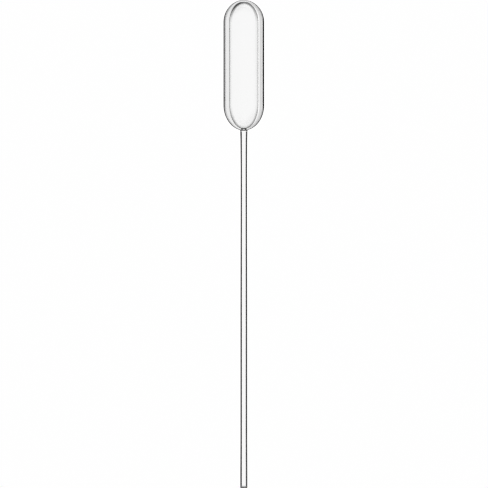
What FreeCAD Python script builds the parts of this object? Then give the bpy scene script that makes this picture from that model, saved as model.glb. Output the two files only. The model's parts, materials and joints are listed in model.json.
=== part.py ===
# Bulb pipette in heavy-walled borosilicate glass, standing on its axis with the bulb at the top.
#
# Frame: millimetres, +Z up along the axis, origin at the centre of the open mouth of the stem.
# The vessel is one closed-topped bulb on one long open stem. It is modelled as the glass sections
# that are worked one by one and then flame-sealed end to end. Each meets the next face to face on a
# flat seam across the axis, and one bore runs through all of the stem into the bulb's cavity:
#
#   mouth_rim      fire-polished mouth, with a short straight land above it
#   stem_tube      lower stem: a slight taper off the land, then straight tube
#   stem_waist     upper stem, drawn a little thinner where it was pulled to the bulb
#   stem_seal      flared and filleted joint between the stem and the bulb
#   bulb_shoulder  lower half-ellipsoid of the bulb, with the hole into the stem
#   bulb_barrel    straight thick-walled stretch of the bulb
#   bulb_crown     closed round top of the bulb

import FreeCAD, Part
import math
import os

import Sketcher

SIZES = {
    "total_length": 430.0,  # mouth to the top of the crown
    "bulb_length": 114.9,  # top of the crown to the lowest point of the shoulder's ellipsoid
    "bulb_radius": 17.9,
    "bulb_wall": 5.0,
    "crown_rise": 19.4,  # vertical half-axis of the crown's outer ellipsoid
    "crown_wall": 2.8,  # glass over the top of the cavity
    "shoulder_drop": 22.1,  # vertical half-axis of the shoulder's outer ellipsoid
    "shoulder_wall": 2.3,  # glass under the foot of the cavity's ellipsoid
    "shoulder_trim": 0.54,  # how much of the ellipsoid's foot the stem seal takes the place of
    "bore_radius": 1.7,
    "stem_radius": 3.0,
    "land_radius": 3.13,  # straight outer wall just above the mouth
    "land_length": 13.4,
    "taper_length": 28.6,  # from the land in to the stem's own radius
    "waist_foot": 158.0,  # height where the upper stem begins to narrow
    "waist_radius": 2.83,
    "waist_fall": 92.7,  # length over which the stem narrows
    "waist_land": 32.5,  # length of the narrowest stretch
    "seal_length": 8.6,
    "seal_flare": 0.19,  # how far the stem widens before it turns into the shoulder
    "seal_fillet": 1.05,
}

# Expressions of the sheet for the seams' heights, and for radii that follow from the sizes.
SHOULDER_TOP = "Sizes.total_length - Sizes.bulb_length + Sizes.shoulder_drop"
CROWN_FOOT = "Sizes.total_length - Sizes.crown_rise"
SEAL_TOP = "Sizes.total_length - Sizes.bulb_length + Sizes.shoulder_trim"
SEAL_FOOT = f"{SEAL_TOP} - Sizes.seal_length"
SHOULDER_HEIGHT = "Sizes.shoulder_drop - Sizes.shoulder_trim"
CAVITY_RADIUS = "Sizes.bulb_radius - Sizes.bulb_wall"
COLLAR_RADIUS = "Sizes.bulb_radius * sqrt(1 - (1 - Sizes.shoulder_trim / Sizes.shoulder_drop)^2)"
RIM_ROUND = "(Sizes.land_radius - Sizes.bore_radius) / 2"

AXIS = FreeCAD.Vector(0, 0, 1)
START, END, CENTRE = 1, 2, 3  # which point of a sketched edge a constraint holds
LOWER_HALF = (-90, 0)  # latitudes of a dome
UPPER_HALF = (0, 90)

doc = FreeCAD.newDocument("BulbPipette")


def make_sheet():
    """The spreadsheet of driving dimensions, one named cell each."""
    sheet = doc.addObject("Spreadsheet::Sheet", "Sizes")
    for row, (name, value) in enumerate(SIZES.items(), start=1):
        sheet.set(f"A{row}", name)
        sheet.set(f"B{row}", str(value))
        sheet.setAlias(f"B{row}", name)
    doc.recompute()


def value_of(expression):
    """The number that an expression of the sheet comes to."""
    return float(doc.getObject("Sizes").evalExpression(expression))


def make_body(label, foot):
    """A body whose own origin stands on the axis, at the height that foot gives."""
    body = doc.addObject("PartDesign::Body", label)
    body.Label = label
    if foot:
        body.setExpression("Placement.Base.z", foot)
    return body


def make_sketch(body, role):
    """An empty sketch on one of the body's own origin planes."""
    sketch = body.newObject("Sketcher::SketchObject", f"{body.Label}_section")
    plane = next(f for f in body.Origin.OriginFeatures if f.Role == role)
    sketch.AttachmentSupport = (plane, [""])
    sketch.MapMode = "FlatFace"
    return sketch


def bind(sketch, name, kind, where, expression):
    """Adds a dimension to a sketch and makes it follow an expression of the sheet."""
    constraint = Sketcher.Constraint(kind, *where, value_of(expression))
    sketch.renameConstraint(sketch.addConstraint(constraint), name)
    sketch.setExpression(f"Constraints.{name}", expression)


def hold(sketch, name, edge, which, across, up):
    """Holds an end of an edge at a radius, and at a height above the body's foot."""
    bind(sketch, f"{name}_across", "DistanceX", (-1, START, edge, which), across)
    if up:
        bind(sketch, f"{name}_up", "DistanceY", (-1, START, edge, which), up)
    else:
        sketch.addConstraint(Sketcher.Constraint("PointOnObject", edge, which, -1))


def place(across, up):
    """The point of a section's plane that two expressions give."""
    return FreeCAD.Vector(value_of(across), value_of(up) if up else 0, 0)


def add_round(sketch, begin, finish, hub, anticlockwise):
    """Adds a round edge about hub. Returns the edge, and which of its ends begin and finish are."""
    low, high = (begin, finish) if anticlockwise else (finish, begin)
    low_angle, high_angle = (math.atan2(p.y - hub.y, p.x - hub.x) for p in (low, high))
    if high_angle <= low_angle:
        high_angle += 2 * math.pi
    circle = Part.Circle(hub, AXIS, (begin - hub).Length)
    edge = sketch.addGeometry(Part.ArcOfCircle(circle, low_angle, high_angle), False)
    return (edge, START, END) if anticlockwise else (edge, END, START)


def draw_wall(sketch, corners, name_of_round=None, hub=None, anticlockwise=True):
    """Draws a closed wall section through corners, each a (name, across, up).

    Its edges are straight, apart from the one that leaves the corner name_of_round: that one is
    round, about hub, an (across, up).
    """
    edges = []
    for index, (name, across, up) in enumerate(corners):
        _, next_across, next_up = corners[(index + 1) % len(corners)]
        begin, finish = place(across, up), place(next_across, next_up)
        if name == name_of_round:
            edges.append(add_round(sketch, begin, finish, place(*hub), anticlockwise))
        else:
            edge = sketch.addGeometry(Part.LineSegment(begin, finish), False)
            edges.append((edge, START, END))
    for index, (edge, begins, ends) in enumerate(edges):
        following, follows, _ = edges[(index + 1) % len(edges)]
        sketch.addConstraint(Sketcher.Constraint("Coincident", edge, ends, following, follows))
        name, across, up = corners[index]
        hold(sketch, name, edge, begins, across, up)
        if name == name_of_round:
            bind(sketch, f"{name}_hub", "DistanceY", (-1, START, edge, CENTRE), hub[1])


def revolved(label, foot, corners, **round_edge):
    """A body turned about the axis from a wall section."""
    body = make_body(label, foot)
    sketch = make_sketch(body, "XZ_Plane")
    draw_wall(sketch, corners, **round_edge)
    turned = body.newObject("PartDesign::Revolution", f"{label}_revolution")
    turned.Profile = sketch
    turned.ReferenceAxis = (sketch, ["V_Axis"])
    turned.Angle = 360
    return body


def make_mouth_rim():
    """The stem's open end: a straight land, and an edge that the flame has drawn into a round."""
    return revolved(
        "mouth_rim",
        None,
        [
            ("bore_at_edge", "Sizes.bore_radius", RIM_ROUND),
            ("land_at_edge", "Sizes.land_radius", RIM_ROUND),
            ("land_at_seam", "Sizes.land_radius", "Sizes.land_length"),
            ("bore_at_seam", "Sizes.bore_radius", "Sizes.land_length"),
        ],
        name_of_round="bore_at_edge",
        hub=(f"Sizes.bore_radius + {RIM_ROUND}", RIM_ROUND),
    )


def make_stem_tube():
    """The lower stem, tapering off the mouth's land to straight tube."""
    length = "Sizes.waist_foot - Sizes.land_length"
    return revolved(
        "stem_tube",
        "Sizes.land_length",
        [
            ("bore_at_foot", "Sizes.bore_radius", None),
            ("land_at_foot", "Sizes.land_radius", None),
            ("end_of_taper", "Sizes.stem_radius", "Sizes.taper_length"),
            ("stem_at_seam", "Sizes.stem_radius", length),
            ("bore_at_seam", "Sizes.bore_radius", length),
        ],
    )


def make_stem_waist():
    """The upper stem, narrowed where it was drawn out from the bulb."""
    length = f"{SEAL_FOOT} - Sizes.waist_foot"
    return revolved(
        "stem_waist",
        "Sizes.waist_foot",
        [
            ("bore_at_foot", "Sizes.bore_radius", None),
            ("stem_at_foot", "Sizes.stem_radius", None),
            ("waist_begins", "Sizes.waist_radius", "Sizes.waist_fall"),
            ("waist_ends", "Sizes.waist_radius", "Sizes.waist_fall + Sizes.waist_land"),
            ("stem_at_seam", "Sizes.stem_radius", length),
            ("bore_at_seam", "Sizes.bore_radius", length),
        ],
    )


def make_stem_seal():
    """Where the stem is sealed to the bulb: the tube flares a little and turns out in a fillet."""
    neck = "Sizes.stem_radius + Sizes.seal_flare"
    hub_across = f"{neck} + Sizes.seal_fillet"
    hub_up = (
        "Sizes.seal_length"
        f" - sqrt(Sizes.seal_fillet^2 - ({hub_across} - {COLLAR_RADIUS})^2)"
    )
    return revolved(
        "stem_seal",
        SEAL_FOOT,
        [
            ("bore_at_foot", "Sizes.bore_radius", None),
            ("stem_at_foot", "Sizes.stem_radius", None),
            ("neck", neck, hub_up),
            ("collar", COLLAR_RADIUS, "Sizes.seal_length"),
            ("bore_at_seam", "Sizes.bore_radius", "Sizes.seal_length"),
        ],
        name_of_round="neck",
        hub=(hub_across, hub_up),
        anticlockwise=False,
    )


def add_primitive(body, kind, name, sizes):
    """Adds one primitive to a body, its sizes following the sheet."""
    feature = body.newObject(f"PartDesign::{kind}", f"{body.Label}_{name}")
    for key, expression in sizes.items():
        feature.setExpression(key, expression)
    return feature


def add_dome(body, kind, name, across, along, half, seat):
    """Adds or takes away half an ellipsoid of revolution, with its flat side at the seat's height."""
    sizes = {"Radius1": along, "Radius2": across, "Radius3": across}
    if seat:
        sizes["Placement.Base.z"] = seat
    dome = add_primitive(body, kind, name, sizes)
    dome.Angle1, dome.Angle2 = half


def make_domed_end(label, foot, along, wall, half, seat):
    """A rounded end of the bulb, its cavity ending in a smaller dome that leaves the wall given."""
    body = make_body(label, foot)
    add_dome(body, "AdditiveEllipsoid", "outside", "Sizes.bulb_radius", along, half, seat)
    cavity_along = f"{along} - {wall}"
    add_dome(body, "SubtractiveEllipsoid", "cavity", CAVITY_RADIUS, cavity_along, half, seat)
    return body


def make_bulb_shoulder():
    """The bulb's lower end, pierced for the stem and cut off flat where the stem seal begins."""
    body = make_domed_end(
        "bulb_shoulder",
        SEAL_TOP,
        "Sizes.shoulder_drop",
        "Sizes.shoulder_wall",
        LOWER_HALF,
        SHOULDER_HEIGHT,
    )
    bore = {"Radius": "Sizes.bore_radius", "Height": SHOULDER_HEIGHT}
    add_primitive(body, "SubtractiveCylinder", "bore", bore)
    foot = {
        "Radius": "Sizes.bulb_radius",
        "Height": "Sizes.shoulder_drop",
        "Placement.Base.z": "-Sizes.shoulder_drop",
    }
    add_primitive(body, "SubtractiveCylinder", "trimmed_foot", foot)
    return body


def make_bulb_barrel():
    """The bulb's straight stretch: a length of thick tube, padded from its ring of a section."""
    body = make_body("bulb_barrel", SHOULDER_TOP)
    sketch = make_sketch(body, "XY_Plane")
    for name, radius in (("cavity", CAVITY_RADIUS), ("outside", "Sizes.bulb_radius")):
        circle = Part.Circle(FreeCAD.Vector(0, 0, 0), AXIS, value_of(radius))
        edge = sketch.addGeometry(circle, False)
        sketch.addConstraint(Sketcher.Constraint("Coincident", edge, CENTRE, -1, START))
        bind(sketch, f"{name}_radius", "Radius", (edge,), radius)
    pad = body.newObject("PartDesign::Pad", "bulb_barrel_pad")
    pad.Profile = sketch
    pad.setExpression("Length", f"({CROWN_FOOT}) - ({SHOULDER_TOP})")
    return body


def make_bulb_crown():
    """The bulb's closed top."""
    return make_domed_end(
        "bulb_crown", CROWN_FOOT, "Sizes.crown_rise", "Sizes.crown_wall", UPPER_HALF, None
    )


def check(bodies):
    """Stops the build if an object failed, a sketch is loose or a section isn't one sound solid."""
    for item in doc.Objects:
        failed = {"Invalid", "Error"} & set(item.State)
        if failed:
            raise RuntimeError(f"{item.Label} is {', '.join(sorted(failed))}")
        if item.TypeId == "Sketcher::SketchObject" and not item.FullyConstrained:
            raise RuntimeError(f"{item.Label} isn't fully constrained")
    for body in bodies:
        shape = body.Shape
        if shape.isNull() or not shape.isValid() or len(shape.Solids) != 1:
            raise RuntimeError(f"{body.Label} isn't one valid solid")
        box = shape.optimalBoundingBox(False)
        print(f"{body.Label}: {shape.Volume:.1f} mm3, z {box.ZMin:.3f} to {box.ZMax:.3f}")


make_sheet()
sections = [
    make_mouth_rim(),
    make_stem_tube(),
    make_stem_waist(),
    make_stem_seal(),
    make_bulb_shoulder(),
    make_bulb_barrel(),
    make_bulb_crown(),
]
doc.recompute()
check(sections)
os.makedirs("parts", exist_ok=True)
for section in sections:
    section.Shape.exportStep(f"parts/{section.Label}.step")
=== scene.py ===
import json
import math

import bpy
import numpy as np
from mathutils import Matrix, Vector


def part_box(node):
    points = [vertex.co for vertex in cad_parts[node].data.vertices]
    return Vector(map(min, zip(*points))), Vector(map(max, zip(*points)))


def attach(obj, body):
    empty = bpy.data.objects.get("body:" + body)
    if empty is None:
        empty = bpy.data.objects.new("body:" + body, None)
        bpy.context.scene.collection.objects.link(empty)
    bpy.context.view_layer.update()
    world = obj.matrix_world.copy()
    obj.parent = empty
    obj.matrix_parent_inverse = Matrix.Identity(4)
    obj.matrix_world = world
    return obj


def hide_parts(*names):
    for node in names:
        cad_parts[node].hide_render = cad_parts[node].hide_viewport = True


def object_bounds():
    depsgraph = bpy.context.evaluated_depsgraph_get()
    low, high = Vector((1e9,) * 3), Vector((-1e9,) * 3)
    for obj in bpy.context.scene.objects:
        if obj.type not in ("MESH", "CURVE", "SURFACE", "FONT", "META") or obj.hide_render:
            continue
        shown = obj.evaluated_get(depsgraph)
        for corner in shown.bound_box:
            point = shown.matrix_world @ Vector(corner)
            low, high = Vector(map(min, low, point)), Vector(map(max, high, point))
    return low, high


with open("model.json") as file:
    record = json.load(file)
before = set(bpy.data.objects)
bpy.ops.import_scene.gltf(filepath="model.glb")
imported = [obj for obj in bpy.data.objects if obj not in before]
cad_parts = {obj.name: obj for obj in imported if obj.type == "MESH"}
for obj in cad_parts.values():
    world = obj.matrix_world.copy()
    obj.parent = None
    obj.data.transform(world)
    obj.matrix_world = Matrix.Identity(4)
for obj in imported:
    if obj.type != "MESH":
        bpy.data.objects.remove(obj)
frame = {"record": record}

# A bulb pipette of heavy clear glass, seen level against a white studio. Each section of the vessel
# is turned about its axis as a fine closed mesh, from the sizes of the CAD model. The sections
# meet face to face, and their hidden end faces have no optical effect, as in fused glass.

cad_low, cad_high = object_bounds()

MM = 0.001
SEGMENTS = 256  # facets round the axis
DOME_STEPS = 96  # steps of a profile along a dome
ROUND_STEPS = 32  # the same round the mouth's edge
FILLET_STEPS = 24
GRAIN = 1e-8  # profile points closer than this share a ring of vertices, in metres

# Wall sizes of the CAD model that its boxes and mounts don't give.
BULB_WALL = 5.0 * MM
CROWN_WALL = 2.8 * MM
SHOULDER_WALL = 2.3 * MM
TAPER_LENGTH = 28.6 * MM
WAIST_RADIUS = 2.83 * MM
WAIST_FALL = 92.7 * MM
WAIST_LAND = 32.5 * MM
SEAL_FLARE = 0.19 * MM
SEAL_FILLET = 1.05 * MM
SHOULDER_DROP = 22.1 * MM  # vertical half-axis of the shoulder, cut short by the stem seal

radius_of = {m["name"]: m["dims"]["r_mm"] * MM for m in frame["record"]["mounts"]}
BORE = radius_of["mouth_bore"]
LAND = radius_of["mouth_land"]
STEM = radius_of["stem_grip"]
BULB = radius_of["bulb_grip"]
CAVITY = BULB - BULB_WALL


def span(node):
    """Heights of a CAD node's foot and top."""
    low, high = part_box(node)
    return low.z, high.z


# ---------------------------------------------------------------- profiles

OUTSIDE, INSIDE, SEAM = 0, 1, 2  # material slots of a section


def straight(start, end, count=1, outward=1, slot=OUTSIDE):
    """A straight run of a profile, as (points, normals, slot), from start to end, each (r, z)."""
    start, end = np.array(start), np.array(end)
    along = (end - start) / np.linalg.norm(end - start)
    normal = np.array([along[1], -along[0]]) * outward
    steps = np.linspace(0, 1, count + 1)[:, None]
    return start + (end - start) * steps, np.repeat(normal[None], count + 1, 0), slot


def rounded(centre, across, along, first, last, count, outward=1, slot=OUTSIDE):
    """A run of an ellipse from one angle to another, in degrees. Angle 0 points away from the axis."""
    angles = np.radians(np.linspace(first, last, count + 1))
    unit = np.stack([np.cos(angles), np.sin(angles)], 1)
    points = np.array(centre) + unit * [across, along]
    points[np.abs(points[:, 0]) < GRAIN / 10, 0] = 0
    normals = unit / [across, along]
    normals *= outward / np.linalg.norm(normals, axis=1)[:, None]
    return points, normals, slot


def seam(height, inner, outer, up):
    """A flat ring across the wall, facing up or down."""
    start, end = ((outer, height), (inner, height)) if up else ((inner, height), (outer, height))
    return straight(start, end, slot=SEAM)


# ---------------------------------------------------------------- meshes


def turned(name, runs):
    """Turns profile runs about the Z axis into one closed mesh with exact surface normals."""
    turn = np.linspace(0, 2 * math.pi, SEGMENTS, endpoint=False)
    cosines, sines = np.cos(turn), np.sin(turn)
    vertices, rings = [], {}
    faces, slots, corner_normals = [], [], []

    def ring_at(r, z):
        key = (round(r / GRAIN), round(z / GRAIN))
        if key not in rings:
            if key[0] == 0:
                rings[key] = [len(vertices)] * SEGMENTS
                vertices.append((0.0, 0.0, z))
            else:
                rings[key] = list(range(len(vertices), len(vertices) + SEGMENTS))
                vertices.extend(zip(r * cosines, r * sines, [z] * SEGMENTS))
        return rings[key]

    for points, normals, slot in runs:
        for k in range(len(points) - 1):
            low, high = ring_at(*points[k]), ring_at(*points[k + 1])
            (dr, dz), (nr, nz) = points[k + 1] - points[k], normals[k]
            flip = dz * nr - dr * nz < 0
            for i in range(SEGMENTS):
                j = (i + 1) % SEGMENTS
                corners = [(low, k, i), (low, k, j), (high, k + 1, j), (high, k + 1, i)]
                if low[i] == low[j]:
                    corners.pop(1)
                elif high[i] == high[j]:
                    corners.pop(3)
                if flip:
                    corners.reverse()
                faces.append([ring[at] for ring, _, at in corners])
                slots.append(slot)
                for _, row, at in corners:
                    n = normals[row]
                    corner_normals.append((n[0] * cosines[at], n[0] * sines[at], n[1]))
    mesh = bpy.data.meshes.new(name)
    mesh.from_pydata(vertices, [], faces)
    mesh.polygons.foreach_set("material_index", slots)
    mesh.polygons.foreach_set("use_smooth", [True] * len(faces))
    mesh.normals_split_custom_set(corner_normals)
    piece = bpy.data.objects.new(name, mesh)
    bpy.context.scene.collection.objects.link(piece)
    return piece


def mouth_rim():
    foot, top = span("mouth_rim")
    half = (LAND - BORE) / 2
    round_height = foot + half
    return turned(
        "mouth_rim_glass",
        [
            rounded((BORE + half, round_height), half, half, 180, 360, ROUND_STEPS),
            straight((LAND, round_height), (LAND, top), 4),
            seam(top, BORE, LAND, up=True),
            straight((BORE, top), (BORE, round_height), 4, slot=INSIDE),
        ],
    )


def stem_tube():
    foot, top = span("stem_tube")
    return turned(
        "stem_tube_glass",
        [
            straight((LAND, foot), (STEM, foot + TAPER_LENGTH), 8),
            straight((STEM, foot + TAPER_LENGTH), (STEM, top), 32),
            seam(top, BORE, STEM, up=True),
            straight((BORE, top), (BORE, foot), 40, slot=INSIDE),
            seam(foot, BORE, LAND, up=False),
        ],
    )


def stem_waist():
    foot, top = span("stem_waist")
    narrow = foot + WAIST_FALL
    return turned(
        "stem_waist_glass",
        [
            straight((STEM, foot), (WAIST_RADIUS, narrow), 24),
            straight((WAIST_RADIUS, narrow), (WAIST_RADIUS, narrow + WAIST_LAND), 8),
            straight((WAIST_RADIUS, narrow + WAIST_LAND), (STEM, top), 8),
            seam(top, BORE, STEM, up=True),
            straight((BORE, top), (BORE, foot), 40, slot=INSIDE),
            seam(foot, BORE, STEM, up=False),
        ],
    )


def stem_seal():
    foot, top = span("stem_seal")
    shoulder_top = span("bulb_barrel")[0]
    collar = BULB * math.sqrt(1 - ((shoulder_top - top) / SHOULDER_DROP) ** 2)
    neck = STEM + SEAL_FLARE
    hub = neck + SEAL_FILLET
    turn = math.degrees(math.acos((collar - hub) / SEAL_FILLET))
    hub_height = top - SEAL_FILLET * math.sin(math.radians(turn))
    return turned(
        "stem_seal_glass",
        [
            straight((STEM, foot), (neck, hub_height), 8),
            rounded((hub, hub_height), SEAL_FILLET, SEAL_FILLET, 180, turn, FILLET_STEPS, outward=-1),
            seam(top, BORE, collar, up=True),
            straight((BORE, top), (BORE, foot), 8, slot=INSIDE),
            seam(foot, BORE, STEM, up=False),
        ],
    )


def bulb_shoulder():
    foot, top = span("bulb_shoulder")
    cavity_drop = SHOULDER_DROP - SHOULDER_WALL
    low_angle = -math.degrees(math.asin((top - foot) / SHOULDER_DROP))
    bore_angle = -math.degrees(math.acos(BORE / CAVITY))
    bore_top = top + cavity_drop * math.sin(math.radians(bore_angle))
    collar = BULB * math.cos(math.radians(low_angle))
    return turned(
        "bulb_shoulder_glass",
        [
            rounded((0, top), BULB, SHOULDER_DROP, low_angle, 0, DOME_STEPS),
            seam(top, CAVITY, BULB, up=True),
            rounded(
                (0, top), CAVITY, cavity_drop, 0, bore_angle, DOME_STEPS, outward=-1, slot=INSIDE
            ),
            straight((BORE, bore_top), (BORE, foot), 2, slot=INSIDE),
            seam(foot, BORE, collar, up=False),
        ],
    )


def bulb_barrel():
    foot, top = span("bulb_barrel")
    return turned(
        "bulb_barrel_glass",
        [
            straight((BULB, foot), (BULB, top), 32),
            seam(top, CAVITY, BULB, up=True),
            straight((CAVITY, top), (CAVITY, foot), 32, slot=INSIDE),
            seam(foot, CAVITY, BULB, up=False),
        ],
    )


def bulb_crown():
    foot, top = span("bulb_crown")
    rise = top - foot
    return turned(
        "bulb_crown_glass",
        [
            rounded((0, foot), BULB, rise, 0, 90, DOME_STEPS),
            rounded(
                (0, foot), CAVITY, rise - CROWN_WALL, 90, 0, DOME_STEPS, outward=-1, slot=INSIDE
            ),
            seam(foot, CAVITY, BULB, up=False),
        ],
    )


# ---------------------------------------------------------------- materials


def new_material(name):
    """A material with an empty node tree, its tree and its output node."""
    material = bpy.data.materials.new(name)
    material.use_nodes = True
    tree = material.node_tree
    tree.nodes.clear()
    output = tree.nodes.new("ShaderNodeOutputMaterial")
    return material, tree, output


def ramp(tree, stops):
    """A colour ramp of greys from (position, value) stops."""
    node = tree.nodes.new("ShaderNodeValToRGB")
    elements = node.color_ramp.elements
    while len(elements) < len(stops):
        elements.new(0.5)
    for element, (position, value) in zip(elements, stops):
        element.position = position
        element.color = (value, value, value, 1)
    return node


def mixed(tree, factor, first, second):
    """Colour output that runs from one colour output to another as the factor goes from 0 to 1."""
    node = tree.nodes.new("ShaderNodeMix")
    node.data_type = "RGBA"
    tree.links.new(factor, node.inputs["Factor"])
    tree.links.new(first, node.inputs["A"])
    tree.links.new(second, node.inputs["B"])
    return node.outputs["Result"]


def calculated(tree, operation, *values):
    """Result of a Math node on numbers or outputs."""
    node = tree.nodes.new("ShaderNodeMath")
    node.operation = operation
    for socket, value in zip(node.inputs, values):
        if isinstance(value, bpy.types.NodeSocket):
            tree.links.new(value, socket)
        else:
            socket.default_value = value
    return node.outputs[0]


def edge_on(tree, level):
    """How edge-on a surface is met: 0 straight on, 1 at a grazing angle.

    With level, it is the angle in the level plane, which keeps the painted dark lines of an upright
    tube the same from any height.
    """
    facing = tree.nodes.new("ShaderNodeLayerWeight").outputs["Facing"]
    if not level:
        return facing
    up = tree.nodes.new("ShaderNodeCombineXYZ")
    up.inputs["Z"].default_value = 1
    slope = tree.nodes.new("ShaderNodeLayerWeight")
    tree.links.new(up.outputs[0], slope.inputs["Normal"])
    sine = calculated(tree, "SUBTRACT", 1, slope.outputs["Facing"])
    sine_squared = calculated(tree, "POWER", sine, 2)
    level_part = calculated(tree, "SQRT", calculated(tree, "SUBTRACT", 1, sine_squared))
    cosine = calculated(tree, "DIVIDE", calculated(tree, "SUBTRACT", 1, facing), level_part)
    return calculated(tree, "SUBTRACT", 1, cosine)


def height_share(tree, start, end):
    """A factor that runs from 0 to 1 between two heights."""
    where = tree.nodes.new("ShaderNodeTexCoord")
    split = tree.nodes.new("ShaderNodeSeparateXYZ")
    share = tree.nodes.new("ShaderNodeMapRange")
    share.inputs["From Min"].default_value = start
    share.inputs["From Max"].default_value = end
    tree.links.new(where.outputs["Object"], split.inputs[0])
    tree.links.new(split.outputs["Z"], share.inputs["Value"])
    return share.outputs["Result"]


GLASS_INDEX = 1.473  # borosilicate glass
STRIA_DEPTH = 0.02 * MM
STRIA_SPREAD = 300  # noise cells to a metre round the glass
STRIA_STRETCH = 0.03  # the same along the axis, as a share of that


def striae(tree):
    """Surface normal with the faint lengthwise waviness of drawn glass."""
    where = tree.nodes.new("ShaderNodeTexCoord")
    stretch = tree.nodes.new("ShaderNodeMapping")
    stretch.inputs["Scale"].default_value = (1, 1, STRIA_STRETCH)
    noise = tree.nodes.new("ShaderNodeTexNoise")
    noise.inputs["Scale"].default_value = STRIA_SPREAD
    noise.inputs["Detail"].default_value = 1.0
    bump = tree.nodes.new("ShaderNodeBump")
    bump.inputs["Distance"].default_value = STRIA_DEPTH
    tree.links.new(where.outputs["Object"], stretch.inputs["Vector"])
    tree.links.new(stretch.outputs["Vector"], noise.inputs["Vector"])
    tree.links.new(noise.outputs["Fac"], bump.inputs["Height"])
    return bump.outputs["Normal"]


def glass_material(name, edge, level=False, end_edge=None, heights=None):
    """Clear glass with painted shade: its colour darkens where it is met edge-on, as the stops in edge
    say, standing in for the dark outlines that the surroundings give in glass.

    With end_edge, the painted darkening changes from edge to end_edge between two heights.
    """
    material, tree, output = new_material(name)
    glass = tree.nodes.new("ShaderNodeBsdfGlass")
    glass.inputs["Roughness"].default_value = 0.0
    glass.inputs["IOR"].default_value = GLASS_INDEX
    tree.links.new(striae(tree), glass.inputs["Normal"])
    amount = edge_on(tree, level)
    shade = ramp(tree, edge)
    tree.links.new(amount, shade.inputs["Fac"])
    colour = shade.outputs["Color"]
    if end_edge:
        end_shade = ramp(tree, end_edge)
        tree.links.new(amount, end_shade.inputs["Fac"])
        colour = mixed(tree, height_share(tree, *heights), colour, end_shade.outputs["Color"])
    tree.links.new(colour, glass.inputs["Color"])
    tree.links.new(glass.outputs[0], output.inputs["Surface"])
    return material


def seam_material():
    """Glass that runs on without a break: the section's hidden end face changes nothing."""
    material, tree, output = new_material("fused_seam")
    clear = tree.nodes.new("ShaderNodeBsdfTransparent")
    tree.links.new(clear.outputs[0], output.inputs["Surface"])
    return material


# Painted shade: how much light each surface lets through, darker where it is met edge-on in place of
# the dark outlines that the surroundings give in glass, as stops of (how edge-on it is met, share of
# light).
BULB_EDGE_PAINTED_SHADE = [(0, 1), (0.35, 1), (0.5, 0.88), (0.64, 0.48), (0.75, 0), (1, 0)]
CAVITY_EDGE_PAINTED_SHADE = [(0, 1), (0.35, 1), (0.5, 0.95), (0.65, 0.75), (0.8, 0.3), (1, 0.1)]
DOME_EDGE_PAINTED_SHADE = [(0, 1), (0.35, 1), (0.5, 0.95), (0.65, 0.85), (0.8, 0.7), (1, 0.7)]
CROWN_CAVITY_EDGE_PAINTED_SHADE = [(0, 1), (0.35, 1), (0.5, 0.3), (0.62, 0.02), (1, 0)]
SHOULDER_CAVITY_EDGE_PAINTED_SHADE = [(0, 1), (0.35, 1), (0.5, 0.6), (0.62, 0.15), (0.8, 0.2), (1, 0.6)]
STEM_EDGE_PAINTED_SHADE = [(0, 1), (0.12, 1), (0.2, 0.3), (0.32, 0.07), (0.6, 0.43), (1, 0.43)]
RIM_END_PAINTED_SHADE = [(0, 0.6), (0.3, 0.45), (1, 0.1)]
BORE_EDGE_PAINTED_SHADE = [(0, 1), (0.3, 1), (0.7, 0.9), (1, 0.9)]
DOME_FADE = 0.7  # share of a dome's height over which its painted edge shade changes
SEAL_FADE = 2.2 * MM  # height of the stem seal's change in painted edge shade, at its top
RIM_FADE = (2.3 * MM, 1.1 * MM)  # heights between which the mouth rim's painted shade changes, dark towards the end even where met straight on


def dome_glass(name, node, edge, end_edge, upward):
    """Bulb glass whose painted edge shade changes from a dome's widest place towards its end."""
    foot, top = span(node)
    reach = (top - foot) * DOME_FADE
    heights = (foot, foot + reach) if upward else (top, top - reach)
    return glass_material(name, edge, end_edge=end_edge, heights=heights)


seal_top = span("stem_seal")[1]
# Each glass below darkens its colour by its painted edge shade stops.
bulb_glass = glass_material("bulb_glass", BULB_EDGE_PAINTED_SHADE)
bulb_cavity = glass_material("bulb_cavity", CAVITY_EDGE_PAINTED_SHADE)
# Crown and shoulder glass carry painted edge shade that changes with height.
crown_glass = dome_glass("crown_glass", "bulb_crown", BULB_EDGE_PAINTED_SHADE, DOME_EDGE_PAINTED_SHADE, upward=True)
crown_cavity = dome_glass(
    "crown_cavity", "bulb_crown", CAVITY_EDGE_PAINTED_SHADE, CROWN_CAVITY_EDGE_PAINTED_SHADE, upward=True
)
shoulder_glass = dome_glass(
    "shoulder_glass", "bulb_shoulder", BULB_EDGE_PAINTED_SHADE, DOME_EDGE_PAINTED_SHADE, upward=False
)
shoulder_cavity = dome_glass(
    "shoulder_cavity", "bulb_shoulder", CAVITY_EDGE_PAINTED_SHADE, SHOULDER_CAVITY_EDGE_PAINTED_SHADE, upward=False
)
stem_glass = glass_material("stem_glass", STEM_EDGE_PAINTED_SHADE, level=True)
bore_glass = glass_material("bore_glass", BORE_EDGE_PAINTED_SHADE, level=True)
# The mouth rim's glass gets painted shade towards its end.
rim_glass = glass_material(
    "rim_glass", STEM_EDGE_PAINTED_SHADE, level=True, end_edge=RIM_END_PAINTED_SHADE, heights=RIM_FADE
)
seal_glass = glass_material(
    "seal_glass",
    STEM_EDGE_PAINTED_SHADE,
    level=True,
    end_edge=DOME_EDGE_PAINTED_SHADE,
    heights=(seal_top - SEAL_FADE, seal_top),
)
fused = seam_material()

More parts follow.
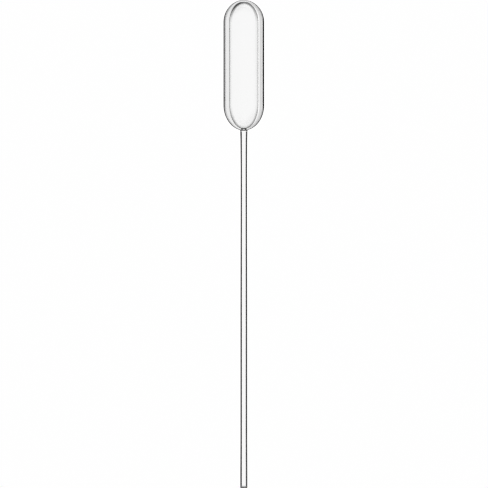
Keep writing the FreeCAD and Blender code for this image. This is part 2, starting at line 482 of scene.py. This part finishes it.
for build, node, outside, inside in (
    (mouth_rim, "mouth_rim", rim_glass, bore_glass),
    (stem_tube, "stem_tube", stem_glass, bore_glass),
    (stem_waist, "stem_waist", stem_glass, bore_glass),
    (stem_seal, "stem_seal", seal_glass, bore_glass),
    (bulb_shoulder, "bulb_shoulder", shoulder_glass, shoulder_cavity),
    (bulb_barrel, "bulb_barrel", bulb_glass, bulb_cavity),
    (bulb_crown, "bulb_crown", crown_glass, crown_cavity),
):
    piece = build()
    for material in (outside, inside, fused):
        piece.data.materials.append(material)
    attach(piece, "root")
    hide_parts(node)

# ---------------------------------------------------------------- studio

# Brightness of the studio round the horizon, by azimuth in degrees: 0 is away from the camera,
# and positive is to its right.
STUDIO = [
    (-180, 1.15),
    (-100, 1.0),
    (-78, 0.62),
    (-50, 0.84),
    (-26, 0.98),
    (-14, 0.90),
    (14, 0.92),
    (38, 0.68),
    (50, 0.84),
    (65, 1.15),
    (180, 1.15),
]
BRIGHTEST = 1.2  # the studio's ramp holds shares of this
BACKDROP = 0.995  # brightness of the plain backdrop where it is seen past the glass

# The studio's dim ceiling, which is darkest up to the left.
CEILING_AZIMUTH = -78
CEILING_ELEVATION = 52
CEILING_REACH = 44  # degrees from its middle to its soft rim
CEILING_CORE = 44 / 3  # degrees from its middle within which it is evenly dim
CEILING_BRIGHTNESS = 0.2


def direction(azimuth, elevation):
    """Unit vector at an azimuth and elevation in degrees, from +Y turning to +X."""
    a, e = math.radians(azimuth), math.radians(elevation)
    return (math.sin(a) * math.cos(e), math.cos(a) * math.cos(e), math.sin(e))


def grey(tree, value):
    """An even grey, as a colour output."""
    node = tree.nodes.new("ShaderNodeRGB")
    node.outputs[0].default_value = (value, value, value, 1)
    return node.outputs[0]


def horizon(tree, towards):
    """The studio's brightness by azimuth alone."""
    split = tree.nodes.new("ShaderNodeSeparateXYZ")
    azimuth = tree.nodes.new("ShaderNodeMath")
    azimuth.operation = "ARCTAN2"
    place = tree.nodes.new("ShaderNodeMapRange")
    place.inputs["From Min"].default_value = -math.pi
    place.inputs["From Max"].default_value = math.pi
    studio = ramp(tree, [((a + 180) / 360, v / BRIGHTEST) for a, v in STUDIO])
    lift = tree.nodes.new("ShaderNodeVectorMath")
    lift.operation = "SCALE"
    lift.inputs["Scale"].default_value = BRIGHTEST
    tree.links.new(towards, split.inputs[0])
    tree.links.new(split.outputs["X"], azimuth.inputs[0])
    tree.links.new(split.outputs["Y"], azimuth.inputs[1])
    tree.links.new(azimuth.outputs[0], place.inputs["Value"])
    tree.links.new(place.outputs["Result"], studio.inputs["Fac"])
    tree.links.new(studio.outputs["Color"], lift.inputs[0])
    return lift.outputs[0]


def closeness(tree, towards, middle, core, reach):
    """A factor of 1 within core degrees of a direction, falling softly to 0 at reach degrees."""
    dot = tree.nodes.new("ShaderNodeVectorMath")
    dot.operation = "DOT_PRODUCT"
    dot.inputs[1].default_value = middle
    soft = tree.nodes.new("ShaderNodeMapRange")
    soft.interpolation_type = "SMOOTHSTEP"
    soft.inputs["From Min"].default_value = math.cos(math.radians(reach))
    soft.inputs["From Max"].default_value = math.cos(math.radians(core))
    tree.links.new(towards, dot.inputs[0])
    tree.links.new(dot.outputs["Value"], soft.inputs["Value"])
    return soft.outputs["Result"]


def make_world():
    """The studio as the glass shows it, and a plain near-white backdrop for camera and floor."""
    world = bpy.data.worlds.new("studio")
    bpy.context.scene.world = world
    world.use_nodes = True
    tree = world.node_tree
    tree.nodes.clear()
    output = tree.nodes.new("ShaderNodeOutputWorld")
    background = tree.nodes.new("ShaderNodeBackground")
    towards = tree.nodes.new("ShaderNodeTexCoord").outputs["Generated"]
    path = tree.nodes.new("ShaderNodeLightPath")
    plain = calculated(
        tree, "MAXIMUM", path.outputs["Is Camera Ray"], path.outputs["Is Diffuse Ray"]
    )
    middle = direction(CEILING_AZIMUTH, CEILING_ELEVATION)
    ceiling = closeness(tree, towards, middle, CEILING_CORE, CEILING_REACH)
    light = mixed(tree, ceiling, horizon(tree, towards), grey(tree, CEILING_BRIGHTNESS))
    seen = mixed(tree, plain, light, grey(tree, BACKDROP))
    tree.links.new(seen, background.inputs["Color"])
    tree.links.new(background.outputs[0], output.inputs["Surface"])


FLOOR_RADIUS = 0.30
FLOOR_DROP = 0.05  # the pipette is held clear of the floor


def make_floor():
    """A round white table top under the mouth."""
    bpy.ops.mesh.primitive_circle_add(
        vertices=128, radius=FLOOR_RADIUS, fill_type="NGON", location=(0, 0, -FLOOR_DROP)
    )
    floor = bpy.context.object
    floor.name = "floor"
    material, tree, output = new_material("pale_floor")
    surface = tree.nodes.new("ShaderNodeBsdfPrincipled")
    surface.inputs["Base Color"].default_value = (0.97, 0.97, 0.97, 1)
    surface.inputs["Roughness"].default_value = 0.6
    surface.inputs["Specular IOR Level"].default_value = 0.1
    tree.links.new(surface.outputs[0], output.inputs["Surface"])
    floor.data.materials.append(material)


CAMERA_DISTANCE = 3.0
CAMERA_ASIDE = 0.14 * MM  # the pipette stands this little left of the picture's centre
SENSOR = 36.0


def make_camera():
    """A long level lens at mid-height, framed on the pipette's whole length."""
    height = cad_high[2] - cad_low[2]
    camera = bpy.data.cameras.new("camera")
    camera.sensor_width = SENSOR
    camera.lens = SENSOR * CAMERA_DISTANCE / height
    camera.clip_end = 50
    holder = bpy.data.objects.new("camera", camera)
    holder.location = (CAMERA_ASIDE, -CAMERA_DISTANCE, cad_low[2] + height / 2)
    holder.rotation_euler = (math.pi / 2, 0, 0)
    bpy.context.scene.collection.objects.link(holder)
    bpy.context.scene.camera = holder


BOUNCES = 32  # enough for light that is caught inside the thick walls
LINE_SOFTNESS = 1.0  # width of a pixel's filter, in pixels


def make_settings():
    """Plain colours, enough bounces for nested glass, and crisp thin lines."""
    scene = bpy.context.scene
    scene.view_settings.view_transform = "Standard"
    scene.cycles.max_bounces = BOUNCES
    scene.cycles.transmission_bounces = BOUNCES
    scene.cycles.glossy_bounces = BOUNCES
    scene.cycles.transparent_max_bounces = BOUNCES
    scene.cycles.filter_width = LINE_SOFTNESS


make_world()
make_floor()
make_camera()
make_settings()
